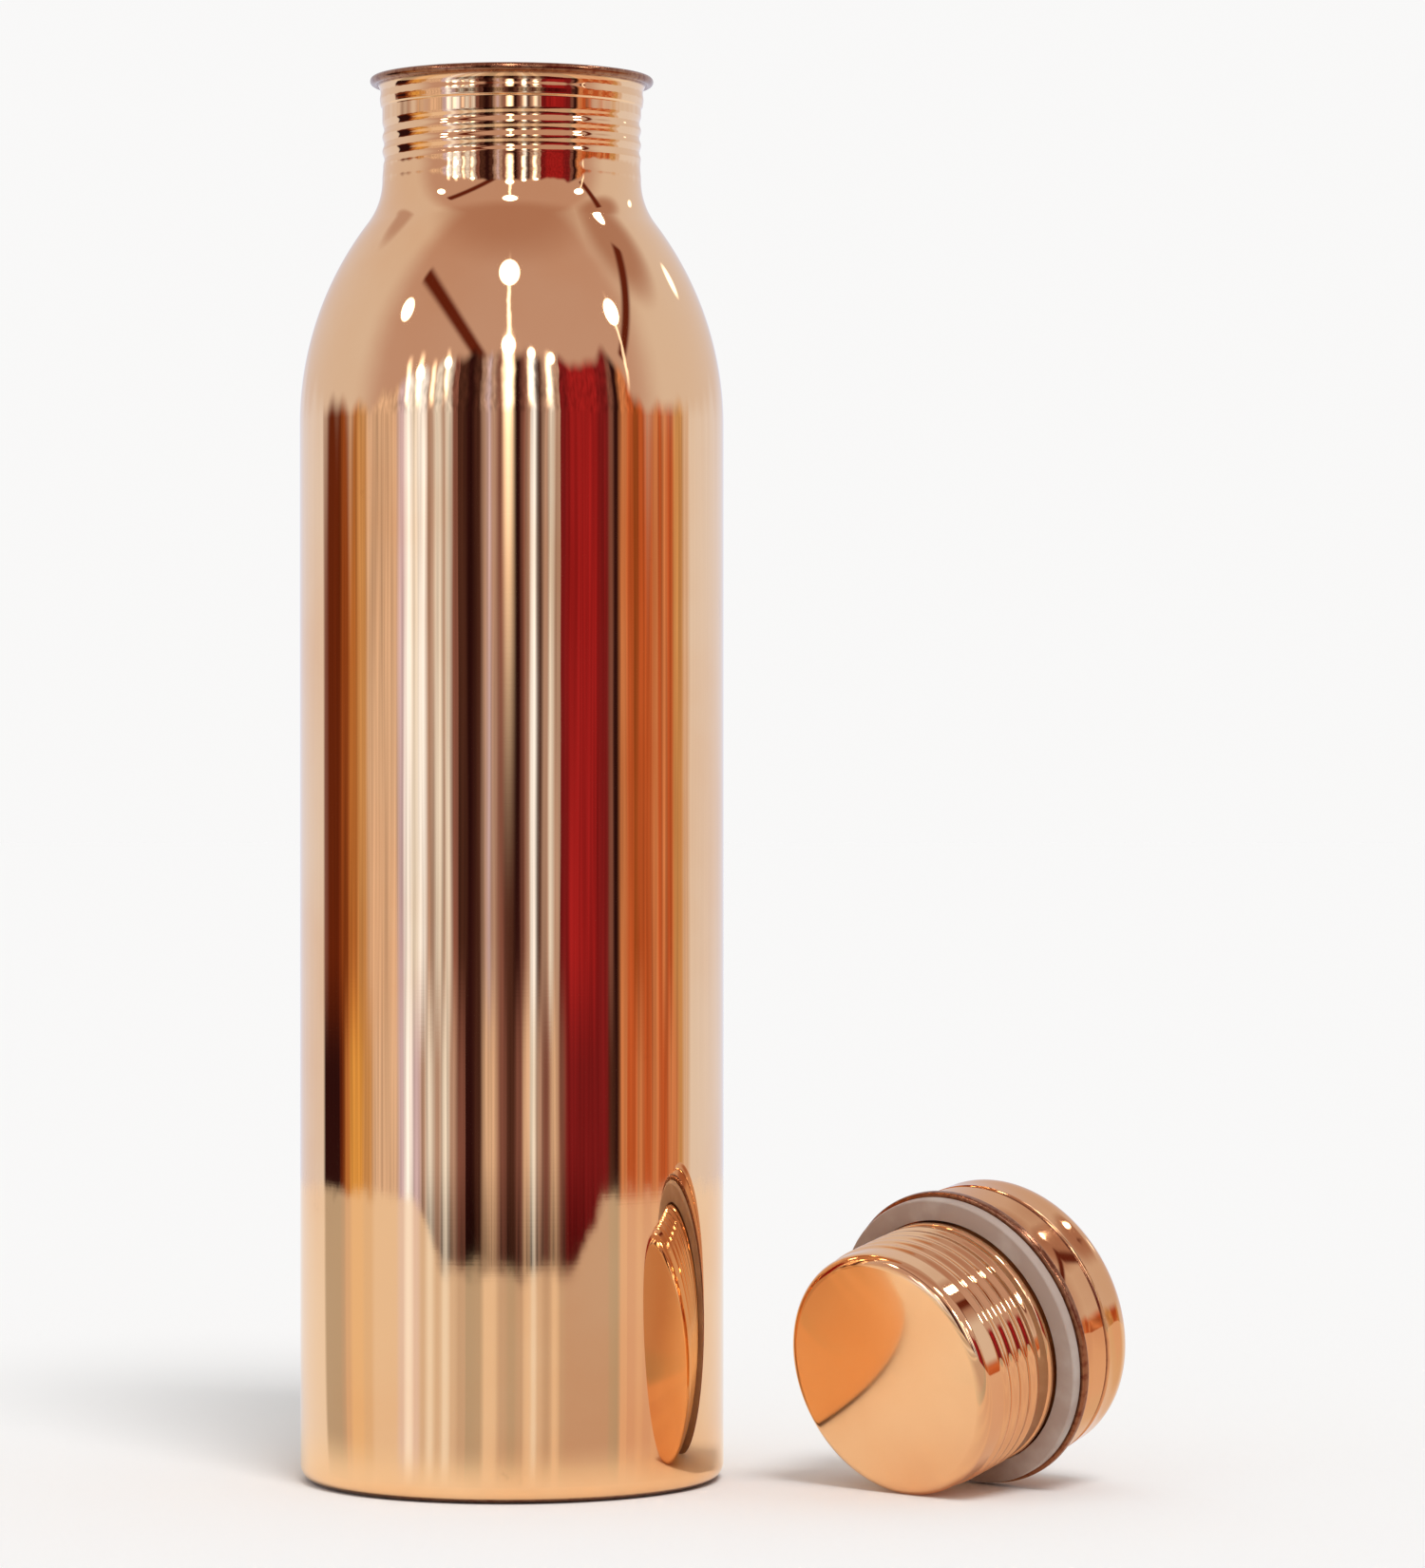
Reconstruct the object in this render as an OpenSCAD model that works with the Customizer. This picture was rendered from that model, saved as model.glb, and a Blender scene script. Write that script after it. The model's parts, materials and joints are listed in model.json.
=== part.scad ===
// Copper water bottle with a screw cap, standing open with its cap lying beside it.
// The bottle stands on Z = 0 with its axis on the Z axis. The cap lies towards +X.

/* [Bottle] */
// Outside diameter of the body
body_d = 73; // [66:0.5:90]
// Height of the open bottle, from the table to the top of the lip
bottle_h = 241.5; // [180:0.5:300]
// Thickness of the copper sheet
sheet_t = 0.5; // [0.4:0.05:0.7]
// Radius of the convex upper part of the shoulder
shoulder_r = 57; // [40:1:80]
// Radius of the concave fillet where the shoulder meets the neck
shoulder_fillet_r = 12.5; // [8:0.5:20]
// Radius of the rounded corner at the foot of the body
foot_corner_r = 3; // [2:0.25:5]
// Width of the flat ring that the bottle stands on
foot_ring_w = 2; // [1:0.5:4]
// Radius of each of the two bends that raise the middle of the base
base_bend_r = 1.5; // [1:0.25:2.5]

/* [Neck] */
// Outside diameter of the neck where the thread is
neck_d = 44.6; // [43:0.1:45]
// Outside diameter of the smooth band between the thread and the lip
mouth_d = 45.2; // [45.1:0.1:46]
// Height of the neck, from the end of the shoulder to the top of the lip
neck_h = 17.7; // [15:0.1:30]
// Outside diameter of the rolled lip
lip_d = 48.8; // [48:0.1:50]
// Radius of the flare under the lip
flare_r = 2; // [1.75:0.25:3]
// Radius of the rolled bead along the lip
lip_bead_r = 0.75; // [0.5:0.05:0.9]

/* [Screw thread] */
// Rise of the thread in one turn
thread_pitch = 2.5; // [2:0.1:3]
// Turns of the thread rolled into the neck
neck_turns = 3.5; // [1:0.1:3.6]
// Turns of the thread rolled into the plug
plug_turns = 4.8; // [2:0.1:4.8]
// Height of the rolled thread above its wall
thread_h = 0.35; // [0.25:0.05:0.4]
// Radial gap between the crest of the plug's thread and the wall of the neck
thread_gap = 0.15; // [0.1:0.05:0.2]

/* [Cap] */
// Length of the plug, from the underside of the flange to its end face
plug_len = 21; // [18:0.5:30]
// Radius of the rounded edge of the plug's end face
plug_corner_r = 2; // [1:0.25:3]
// Outside diameter of the folded rim
rim_d = 52; // [51:0.1:54]
// Outside diameter of the knob
knob_d = 48.8; // [46:0.1:49]
// Height of the knob above the flange, without the crown of its top
knob_h = 15.8; // [13:0.1:22]
// Height of the groove round the knob above the flange
knob_groove_h = 8; // [6:0.5:8]
// Radius of the rounded edge of the knob's top
knob_corner_r = 4; // [2:0.25:5]
// Rise of the crown in the middle of the knob's top
knob_crown = 0.8; // [0.4:0.1:2]

/* [Gasket] */
// Thickness of the silicone ring
gasket_t = 2; // [1.5:0.1:3]
// Outside diameter of the silicone ring
gasket_d = 50.6; // [49.5:0.1:50.8]

/* [Cap at rest] */
// Distance of the cap's seat from the bottle's axis, towards +X
cap_x = 76; // [70:1:120]
// Distance of the cap's seat from the bottle's axis, towards +Y
cap_y = -13; // [-40:1:20]
// Direction in which the knob points, turned from +X towards +Y
cap_heading = 48; // [0:1:90]

/* [Hidden] */
$fn = 96;
COPPER = "#c87a4b";
COPPER_DARK = "#b5683d";
SILICONE = "#8d8a88";

// Plain radii
body_r = body_d / 2;
neck_r = neck_d / 2;
mouth_r = mouth_d / 2;
lip_r = lip_d / 2;
rim_r = rim_d / 2;
knob_r = knob_d / 2;
gasket_r = gasket_d / 2;
neck_bore_r = neck_r - sheet_t;

// Angle through which the shoulder leans in before it turns back to the neck
shoulder_a = acos(1 - (body_r - neck_r) / (shoulder_r + shoulder_fillet_r));
neck_z = bottle_h - neck_h;
shoulder_z = neck_z - (shoulder_r + shoulder_fillet_r) * sin(shoulder_a);

// The flare turns outwards until the middle of the sheet reaches the centre of the bead
flare_mid_r = flare_r + sheet_t / 2;
bead_x = lip_r - lip_bead_r;
bead_z = bottle_h - lip_bead_r;
flare_a = acos((mouth_r + flare_r - bead_x) / flare_mid_r);
flare_z = bead_z - flare_mid_r * sin(flare_a);

// The smooth band and the step below it
mouth_band_h = 2.2;
mouth_step_h = 0.4;
mouth_z = flare_z - mouth_band_h;

// The base rises inside the ring that the bottle stands on
base_flat_r = body_r - foot_corner_r - foot_ring_w - 2 * base_bend_r;

// Thread: one trapezoid swept along a helix, for the neck's groove and both ridges
thread_steps = 40;
thread_root_w = 1.7;
thread_crest_w = 0.7;
thread_overlap = 0.15;
thread_runout = 0.25;
thread_end_share = 0.45;
neck_groove_depth = 0.3;
neck_groove_w = 1.3;
neck_groove_floor_w = 0.5;
neck_thread_top_gap = 1.7;
neck_thread_z = mouth_z - neck_thread_top_gap - neck_turns * thread_pitch;
plug_crest_r = neck_bore_r - thread_gap;
plug_r = plug_crest_r - thread_h;
plug_thread_end_gap = 4.2;

// Bead round the root of the plug, between its thread and the gasket
root_bead_h = 0.3;
root_bead_w = 1.4;
root_bead_z = -1.1;
root_bead_r = (root_bead_h * root_bead_h + root_bead_w * root_bead_w / 4) / (2 * root_bead_h);
root_bead_a = asin(root_bead_w / 2 / root_bead_r);

// Cap, in its own frame: Z = 0 is the underside of the gasket, and the knob points to +Z
running_gap = 0.05;
flange_z = gasket_t + running_gap;
plug_end_z = flange_z - plug_len;
rim_h = 3 * sheet_t;
rim_fold_w = 1.1;
knob_waist = 0.5;
knob_bulge_h = 5;
knob_groove_r = 0.6;
knob_groove_inset = 0.25;
gasket_bore_r = plug_crest_r + running_gap;
gasket_edge_r = 0.4;

// The cap rests on the rounded edge of its plug and on its rim, which tips its axis up
lie_reach = plug_len - plug_corner_r;
lie_drop = rim_r - (plug_r - plug_corner_r);
lie_tilt = atan2(lie_drop, lie_reach) - asin(plug_corner_r / norm([lie_reach, lie_drop]));
seat_height = rim_r * cos(lie_tilt) - flange_z * sin(lie_tilt);

// Points along an arc of n pieces, from angle a0 to angle a1
function arc(centre, r, a0, a1, n) =
    [for (i = [0:n]) centre + r * [cos(a0 + (a1 - a0) * i / n), sin(a0 + (a1 - a0) * i / n)]];

function reverse(points) = [for (i = [len(points) - 1:-1:0]) points[i]];

// One face of the bottle's sheet, at depth d under the outside, from the base to the lip
function bottle_face(d) = concat(
    [[0, 2 * base_bend_r + d]],
    arc([base_flat_r, base_bend_r], base_bend_r + d, 90, 0, 6),
    arc([base_flat_r + 2 * base_bend_r, base_bend_r], base_bend_r - d, 180, 270, 6),
    arc([body_r - foot_corner_r, foot_corner_r], foot_corner_r - d, 270, 360, 8),
    arc([body_r - shoulder_r, shoulder_z], shoulder_r - d, 0, shoulder_a, 16),
    arc([neck_r + shoulder_fillet_r, neck_z], shoulder_fillet_r + d, 180 + shoulder_a, 180, 10),
    [[neck_r - d, mouth_z - mouth_step_h], [mouth_r - d, mouth_z]],
    arc([mouth_r + flare_r, flare_z], flare_r + d, 180, 180 - flare_a, 8)
);

// One face of the knob's sheet, at depth d under the outside, from the flange to the crown
function knob_face(d) = concat(
    [[rim_r - sheet_t - running_gap, d > 0 ? 0 : sheet_t]],
    [[knob_r - knob_waist - (d > 0 ? d : 0), d > 0 ? 0 : sheet_t]],
    [for (i = [1:6]) [knob_r - d - knob_waist * (1 - sin(15 * i)), knob_bulge_h * i / 6]],
    arc([knob_r + knob_groove_r - knob_groove_inset, knob_groove_h], knob_groove_r + d, 250, 110, 8),
    arc([knob_r - knob_corner_r, knob_h - knob_corner_r], knob_corner_r - d, 0, 80, 8),
    [for (x = [0.75, 0.5, 0.25, 0]) [x * (knob_r - knob_corner_r), knob_h - d + knob_crown * (1 - x * x)]]
);

// A strip wound along the thread's helix, from radius r0 (w0 wide) to radius r1 (w1 wide).
// Over the run-out at each end the strip sinks back towards the radius r0, to a low step.
module helix_strip(r0, r1, w0, w1, turns) {
    steps = ceil(turns * thread_steps);
    runout_steps = thread_runout * thread_steps;
    points = [
        for (i = [0:steps])
            let (
                a = 360 * i / thread_steps,
                z = thread_pitch * i / thread_steps,
                full = min(1, i / runout_steps, (steps - i) / runout_steps),
                r = r0 + (r1 - r0) * (thread_end_share + (1 - thread_end_share) * full)
            )
            each [
                for (p = [[r0, -w0 / 2], [r, -w1 / 2], [r, w1 / 2], [r0, w0 / 2]])
                    [p[0] * cos(a), p[0] * sin(a), z + p[1]]
            ]
    ];
    sides = [
        for (i = [0:steps - 1], k = [0:3])
            let (a = 4 * i + k, b = 4 * i + (k + 1) % 4)
            each [[a, b, b + 4], [a, b + 4, a + 4]]
    ];
    ends = [
        [3, 2, 1], [3, 1, 0],
        [4 * steps, 4 * steps + 1, 4 * steps + 2], [4 * steps, 4 * steps + 2, 4 * steps + 3]
    ];
    faces = concat(sides, ends);
    polyhedron(points, r1 > r0 ? faces : [for (f = faces) reverse(f)]);
}

// The seamless bottle: base, body, shoulder, neck and rolled lip drawn from one sheet
module bottle() {
    color(COPPER)
    difference() {
        union() {
            rotate_extrude() {
                polygon(concat(bottle_face(0), reverse(bottle_face(sheet_t))));
                translate([bead_x, bead_z]) circle(lip_bead_r);
            }
            translate([0, 0, neck_thread_z])
                helix_strip(neck_bore_r + thread_overlap, neck_bore_r - thread_h,
                            thread_root_w, thread_crest_w, neck_turns);
        }
        translate([0, 0, neck_thread_z])
            helix_strip(neck_r + thread_overlap, neck_r - neck_groove_depth,
                        neck_groove_w, neck_groove_floor_w, neck_turns);
    }
}

// Puts a piece of the cap, drawn in the cap's own frame, where the cap lies on the table
module lay_down() {
    translate([cap_x, cap_y, seat_height])
        rotate([0, 90 - lie_tilt, cap_heading])
        children();
}

// The flat silicone ring that seals the cap on the lip
module gasket() {
    color(SILICONE)
    lay_down()
    rotate_extrude()
    polygon(concat(
        [[gasket_bore_r, 0]],
        arc([gasket_r - gasket_edge_r, gasket_edge_r], gasket_edge_r, 270, 360, 4),
        arc([gasket_r - gasket_edge_r, gasket_t - gasket_edge_r], gasket_edge_r, 0, 90, 4),
        [[gasket_bore_r, gasket_t]]
    ));
}

// The threaded plug, whose flange is folded over the edge of the knob
module plug() {
    color(COPPER_DARK)
    lay_down()
    union() {
        rotate_extrude()
        polygon(concat(
            [[0, plug_end_z]],
            arc([plug_r - plug_corner_r, plug_end_z + plug_corner_r], plug_corner_r, 270, 360, 8),
            arc([plug_r + root_bead_h - root_bead_r, root_bead_z], root_bead_r, -root_bead_a, root_bead_a, 8),
            [
                [plug_r, flange_z],
                [rim_r, flange_z],
                [rim_r, flange_z + rim_h],
                [rim_r - rim_fold_w, flange_z + rim_h],
                [rim_r - rim_fold_w, flange_z + 2 * sheet_t],
                [rim_r - sheet_t, flange_z + 2 * sheet_t],
                [rim_r - sheet_t, flange_z + sheet_t],
                [plug_r - sheet_t, flange_z + sheet_t]
            ],
            arc([plug_r - plug_corner_r, plug_end_z + plug_corner_r], plug_corner_r - sheet_t, 360, 270, 8),
            [[0, plug_end_z + sheet_t]]
        ));
        translate([0, 0, plug_end_z + plug_thread_end_gap])
            helix_strip(plug_r - thread_overlap, plug_crest_r, thread_root_w, thread_crest_w, plug_turns);
    }
}

// The hollow knob, spun from one sheet and held at its foot by the fold of the plug's flange
module knob() {
    color(COPPER)
    lay_down()
    translate([0, 0, flange_z + sheet_t])
    rotate_extrude()
    polygon(concat(knob_face(0), reverse(knob_face(sheet_t))));
}

bottle();
gasket();
plug();
knob();
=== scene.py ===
"""Copper water bottle and its screw cap: the looks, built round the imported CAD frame.

Sizes are in millimetres, as in the CAD, until lathe() writes them as metres.
"""

import json
import math

import bmesh
import bpy
import numpy as np
from mathutils import Matrix, Vector


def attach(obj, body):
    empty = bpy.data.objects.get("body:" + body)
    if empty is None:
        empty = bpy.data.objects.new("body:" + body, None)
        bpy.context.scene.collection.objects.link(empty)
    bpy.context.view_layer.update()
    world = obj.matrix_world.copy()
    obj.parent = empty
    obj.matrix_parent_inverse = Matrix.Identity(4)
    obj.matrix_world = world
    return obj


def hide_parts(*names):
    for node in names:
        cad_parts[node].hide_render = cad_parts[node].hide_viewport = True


MM = 0.001
TAU = 2 * math.pi

# Bottle
SHEET = 0.5
BODY_R = 36.5
BOTTLE_H = 241.5
FOOT_R = 3.0
FOOT_RING = 2.0
BASE_BEND_R = 1.5
SHOULDER_R = 57.0
FILLET_R = 12.5
NECK_R = 22.3
MOUTH_R = 22.6
NECK_H = 17.7
LIP_R = 24.4
FLARE_R = 2.0
BEAD_R = 0.75
MOUTH_BAND = 2.2
MOUTH_STEP = 0.4
MOUTH_BULGE = 0.12
WAIST_DEPTH = 0.14
WAIST_W = 4.4

# Screw thread
PITCH = 2.5
NECK_TURNS = 3.5
NECK_THREAD_DEPTH = 0.3
NECK_THREAD_TOP_GAP = 1.7
PLUG_TURNS = 4.8
PLUG_THREAD_END_GAP = 4.2
THREAD_H = 0.35
THREAD_GAP = 0.15
RUNOUT_TURNS = 0.25

# Cap and gasket, in the cap's own frame: Z = 0 is the underside of the gasket
GASKET_T = 2.0
GASKET_R = 25.3
GASKET_EDGE_R = 0.4
RUNNING_GAP = 0.05
PLUG_LEN = 21.0
PLUG_CORNER_R = 2.0
ROOT_BEAD_H = 0.3
ROOT_BEAD_W = 1.4
ROOT_BEAD_Z = -1.1
RIM_R = 26.0
RIM_H = 1.5
RIM_FOLD_W = 1.1
RIM_EDGE_R = 0.45
KNOB_R = 24.4
KNOB_H = 15.8
KNOB_WAIST = 0.5
KNOB_FOOT_R = 0.6
KNOB_BULGE_H = 5.0
KNOB_GROOVE_H = 8.0
KNOB_GROOVE_R = 0.6
KNOB_GROOVE_INSET = 0.25
KNOB_CORNER_R = 4.0
KNOB_CROWN = 0.8

# Fineness of the meshes
SEGMENTS = 256
ARC_STEP = 3.0
WALL_STEP = 4.0
THREAD_STEP = 0.12
KNOB_BULGE_STEPS = 12
SHARP_ANGLE = math.radians(35)

# Places that follow from the sizes
SHOULDER_A = math.degrees(math.acos(1 - (BODY_R - NECK_R) / (SHOULDER_R + FILLET_R)))
NECK_Z = BOTTLE_H - NECK_H
SHOULDER_Z = NECK_Z - (SHOULDER_R + FILLET_R) * math.sin(math.radians(SHOULDER_A))
BEAD_X = LIP_R - BEAD_R
BEAD_Z = BOTTLE_H - BEAD_R
FLARE_MID_R = FLARE_R + SHEET / 2
FLARE_A = math.degrees(math.acos((MOUTH_R + FLARE_R - BEAD_X) / FLARE_MID_R))
FLARE_Z = BEAD_Z - FLARE_MID_R * math.sin(math.radians(FLARE_A))
MOUTH_Z = FLARE_Z - MOUTH_BAND
NECK_THREAD_Z = MOUTH_Z - NECK_THREAD_TOP_GAP - NECK_TURNS * PITCH
PLUG_R = NECK_R - SHEET - THREAD_GAP - THREAD_H
GASKET_BORE_R = PLUG_R + THREAD_H + RUNNING_GAP
FLANGE_Z = GASKET_T + RUNNING_GAP
PLUG_END_Z = FLANGE_Z - PLUG_LEN
PLUG_THREAD_Z = PLUG_END_Z + PLUG_THREAD_END_GAP

# Camera: level with the middle of the bottle, about a metre away
CAMERA_AT = (0.0346, -1.002, 0.128)
CAMERA_AIM = (0.0346, 0.0, 0.1198)
CAMERA_LENS = 133.35
CAMERA_SENSOR_W = 36

# Stage: a pale floor, which looks like the top of a table in reflections, and a soft key light
FLOOR_COLOUR = (0.9, 0.895, 0.89)
FLOOR_SIZE = 12.0
TABLE_COLOUR = (0.93, 0.9, 0.84)
TABLE_FRONT = 0.46
TABLE_SIDE = 0.68
TABLE_WIDENS = (30, 56)
TABLE_EDGE_SOFTNESS = 0.04
TABLE_EDGE_WOBBLE = 0.12
TABLE_EDGE_SCALE = 9
# Painted reflection on the table top: the lower stripes glow from it for glossy rays, up to this share,
# growing over these distances from the middle in metres
TABLE_PAINTED_REFLECTION = 0.48
TABLE_PAINTED_REFLECTION_FROM = (0.04, 0.12)
SKY_LIGHT = 0.7
KEY_LIGHT = 1.35
KEY_ANGLE = math.radians(20)
KEY_TILT = (math.radians(35), 0.0, math.radians(20))

COPPER = (0.95, 0.62, 0.35)
COPPER_DEEP = (0.91, 0.53, 0.27)
# The knob's copper: a darker copy of the plug's copper, painted shade
KNOB_COPPER_SHADED = (0.8, 0.42, 0.2)
# Dark copper colour of the random tarnish spots, and also of the painted shade in the dark bands
COPPER_TARNISH_AND_PAINTED_SHADE = (0.2, 0.055, 0.028)
SILICONE = (0.42, 0.32, 0.27)
SILICONE_DUST = (0.5, 0.42, 0.37)

# Surface of the copper. Scales of grain are per metre, and depths of bumps are in metres.
BOTTLE_ROUGHNESS = 0.022
PLUG_ROUGHNESS = 0.045
KNOB_ROUGHNESS = 0.04
SMUDGE_ROUGHENS = 1.9
# Extra roughness in the copper's bands of painted shade
SHADE_BAND_ROUGHNESS = 0.15
SPOT_TARNISH = 0.3
CLOUD_SCALE = 22
SMUDGE_SCALE = 90
SPECK_SCALE = 900
SPUN_LINE_SCALE = 2600
SPUN_LINE_SIDE_SCALE = 8
SPUN_LINE_DEPTH = 0.0000015
WAVE_SCALE = 35
WAVE_DEPTH = 0.00002

# Surface of the rubber
DUST_SCALE = 160
GRAIN_SCALE = 2600
GRAIN_DEPTH = 0.00003
SILICONE_ROUGHNESS = (0.38, 0.6)

# Bands of painted shade on the copper, darker and rougher, in millimetres
BAND_SOFTNESS = 0.35
FOOT_PAINTED_SHADE_H = 0.7
GROOVE_PAINTED_SHADE_W = 0.3

# What the polished copper mirrors: colours as they look in the copper, 0 to 255. They and the stripes
# below were grouped from colours sampled across the photograph's reflections, and the lamps, lines,
# beams and table edge were placed by those.
PALE = (224, 190, 158)
BEIGE = (213, 163, 122)
TAN = (196, 132, 73)
AMBER = (177, 101, 44)
RUST = (138, 63, 23)
UMBER = (100, 36, 12)
WHITE = (255, 236, 216)
CREAM = (230, 206, 178)
TAUPE = (176, 132, 104)
BROWN = (126, 73, 55)
DARK = (74, 38, 25)
BLACK = (45, 15, 11)
RED = (151, 28, 25)
MAROON = (118, 24, 22)
ORANGE = (183, 81, 36)
APRICOT = (201, 116, 66)
MAUVE = (203, 167, 160)
GOLD = (215, 141, 60)
CEILING = (216, 177, 142)
CEILING_FRONT = (192, 140, 108)
CEILING_OVERHEAD = (168, 108, 76)
BEAM = (96, 32, 14)

# The upright stripes of the room, by the azimuth where each one starts: 0 is towards the
# camera and 90 is to its right. The upper room is seen level and above, the lower one below.
UPPER_ROOM = [
    (-180, PALE), (-121, BROWN), (-117, UMBER), (-104, RUST), (-97, AMBER), (-90, TAN),
    (-83, BEIGE), (-62, MAUVE), (-58, WHITE), (-54, CREAM), (-50, WHITE), (-45, TAUPE),
    (-40, CREAM), (-36, TAUPE), (-34, CREAM), (-31, BROWN), (-27, DARK), (-22, BLACK),
    (-18, DARK), (-14, TAUPE), (-11, MAUVE), (-9, TAUPE), (-6, BROWN), (-2, DARK),
    (3, BLACK), (7, BROWN), (10, TAUPE), (12, WHITE), (15, DARK), (18, TAUPE),
    (22, CREAM), (24, TAUPE), (28, MAROON), (32, RED), (49, MAROON), (56, BROWN), (58, BLACK),
    (62, APRICOT), (67, ORANGE), (71, RUST), (73, ORANGE), (84, APRICOT), (88, ORANGE),
    (91, APRICOT), (94, ORANGE), (100, TAN), (108, BEIGE), (114, PALE),
]
LOWER_ROOM = [
    (-180, PALE), (-121, BLACK), (-104, UMBER), (-101, AMBER), (-96, GOLD), (-86, TAN),
    (-79, BEIGE), (-62, MAUVE), (-58, WHITE), (-53, MAUVE), (-49, TAUPE), (-45, CREAM),
    (-41, TAUPE), (-36, CREAM), (-32, TAUPE), (-28, BROWN), (-23, BLACK), (-18, DARK),
    (-14, BEIGE), (-6, BROWN), (-1, DARK), (4, BROWN), (8, BEIGE), (12, CREAM),
    (15, TAUPE), (18, BROWN), (23, BEIGE), (27, BROWN), (30, MAROON), (56, DARK), (59, BLACK),
    (62, APRICOT), (67, ORANGE), (73, APRICOT), (77, ORANGE), (84, APRICOT), (88, ORANGE),
    (96, APRICOT), (104, TAN), (108, BEIGE), (114, PALE),
]
LOWER_ROOM_Z = -0.047
ROOM_CHANGE = 0.012
STRIPE_SOFTNESS = 0.22
STRIPE_WOBBLE = 2.5
WOBBLE_SCALE = 9
# As many colour stops as one ramp takes
MOST_STOPS = 32
# The stripes end at a wall's top edge in front, and lower down at the sides and behind
WALL_TOP_FRONT = 0.445
WALL_TOP_SIDE = 0.09
WALL_TOP_ROUGHNESS = 0.14
WALL_TOP_GRAIN = 0.13
WALL_TOP_SOFTNESS = 0.05
# One part of the wall is taller: its azimuth and half width in degrees, and how much taller
TALL_WALL = (56, 16)
TALL_WALL_RISE = 0.16
# The front wall is darker along its foot
WALL_FOOT_Z = (-0.092, -0.07)
WALL_FOOT_SIDE = (40, 60)
WALL_FOOT_SHADE = 0.55
# Small changes of brightness: grain per degree of azimuth and per unit of height, and where
# their strength fades from one value to the other
STREAK_GRAIN = (0.6, 14)
STREAK_SIDE = (100, 120)
STREAK_STRENGTH = (1.1, 0.1)
# Half width of the ceiling's darker front part
CEILING_FRONT_SIDE = (70, 95)
CEILING_OVERHEAD_Z = (0.8, 0.96)
CEILING_OVERHEAD_SHADE = 0.7
# Lamps in the room: azimuth, elevation and radius in degrees, and brightness
LAMPS = [
    (0, 54, 5.5, 24.0), (-69, 34, 4.0, 16.0), (69, 34, 4.5, 24.0), (0, 27, 4.0, 16.0),
    (134, 25, 3.5, 2.0), (-50, 16, 3.0, 6.0), (-34, 20, 2.5, 6.0), (13, 24, 2.5, 6.0),
    (24, 22, 2.5, 6.0), (114, 53, 3.0, 30.0),
]
# Thin upright lights: azimuth, lowest and highest elevation, half width and brightness
LIGHT_LINES = [
    (0, 18, 64, 2.0, 2.4), (0, -2, 34, 4.5, 4.0), (69, 8, 42, 1.3, 1.4), (-57, 4, 22, 2.2, 2.0),
    (-50, 4, 24, 2.4, 2.5), (-42, 4, 22, 2.0, 2.0), (-34, 6, 26, 2.0, 2.0), (12, 4, 26, 2.4, 2.5),
    (22, 4, 26, 2.4, 2.5),
]
# Dark areas of the ceiling: azimuth, elevation and radius in degrees, and how dark
CEILING_PATCHES = [(106, 47, 20, 0.9), (-128, 42, 9, 0.6)]
# Dark beams under the ceiling: azimuth and elevation of each end, and half width in degrees
BEAMS = [((-14, 21), (-67, 46), 2.7), ((67, 20), (104, 46), 2.2)]


def arc(x, z, r, start, end, step=ARC_STEP):
    """Points along an arc about (x, z), from one angle to another in degrees."""
    count = max(4, math.ceil(abs(end - start) / step))
    angles = [math.radians(start + (end - start) * i / count) for i in range(count + 1)]
    return [(x + r * math.cos(a), z + r * math.sin(a)) for a in angles]


def line(start, end, step):
    """Points along a straight line, without its two ends."""
    count = max(2, math.ceil(math.dist(start, end) / step))
    shares = [i / count for i in range(1, count)]
    return [tuple(a + (b - a) * t for a, b in zip(start, end)) for t in shares]


def smooth(t):
    """0 to 1 with a gentle start and end."""
    t = np.clip(t, 0, 1)
    return t * t * (3 - 2 * t)


def corner_angle(near, far, opposite):
    """The angle between the sides near and far of a triangle, in degrees."""
    return math.degrees(math.acos((near**2 + far**2 - opposite**2) / (2 * near * far)))


def lip_angle(depth):
    """Where a face of the flare runs into the lip's bead, as an angle about the flare."""
    return 180 - FLARE_A + corner_angle(FLARE_R + depth, FLARE_MID_R, BEAD_R)


def bead_angle(depth):
    """The same place as an angle about the bead."""
    return -FLARE_A - corner_angle(BEAD_R, FLARE_MID_R, FLARE_R + depth)


def neck_wall(low, high, depth, bend, half_w):
    """An upright wall that bends outwards by a little in its middle, or inwards below zero."""
    middle = (low + high) / 2
    heights = [z for _, z in line((0, low), (0, high), THREAD_STEP)]
    turns = [math.pi * min(1, abs(z - middle) / half_w) for z in heights]
    return [(depth + bend * (0.5 + 0.5 * math.cos(turn)), z) for z, turn in zip(heights, turns)]


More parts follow.
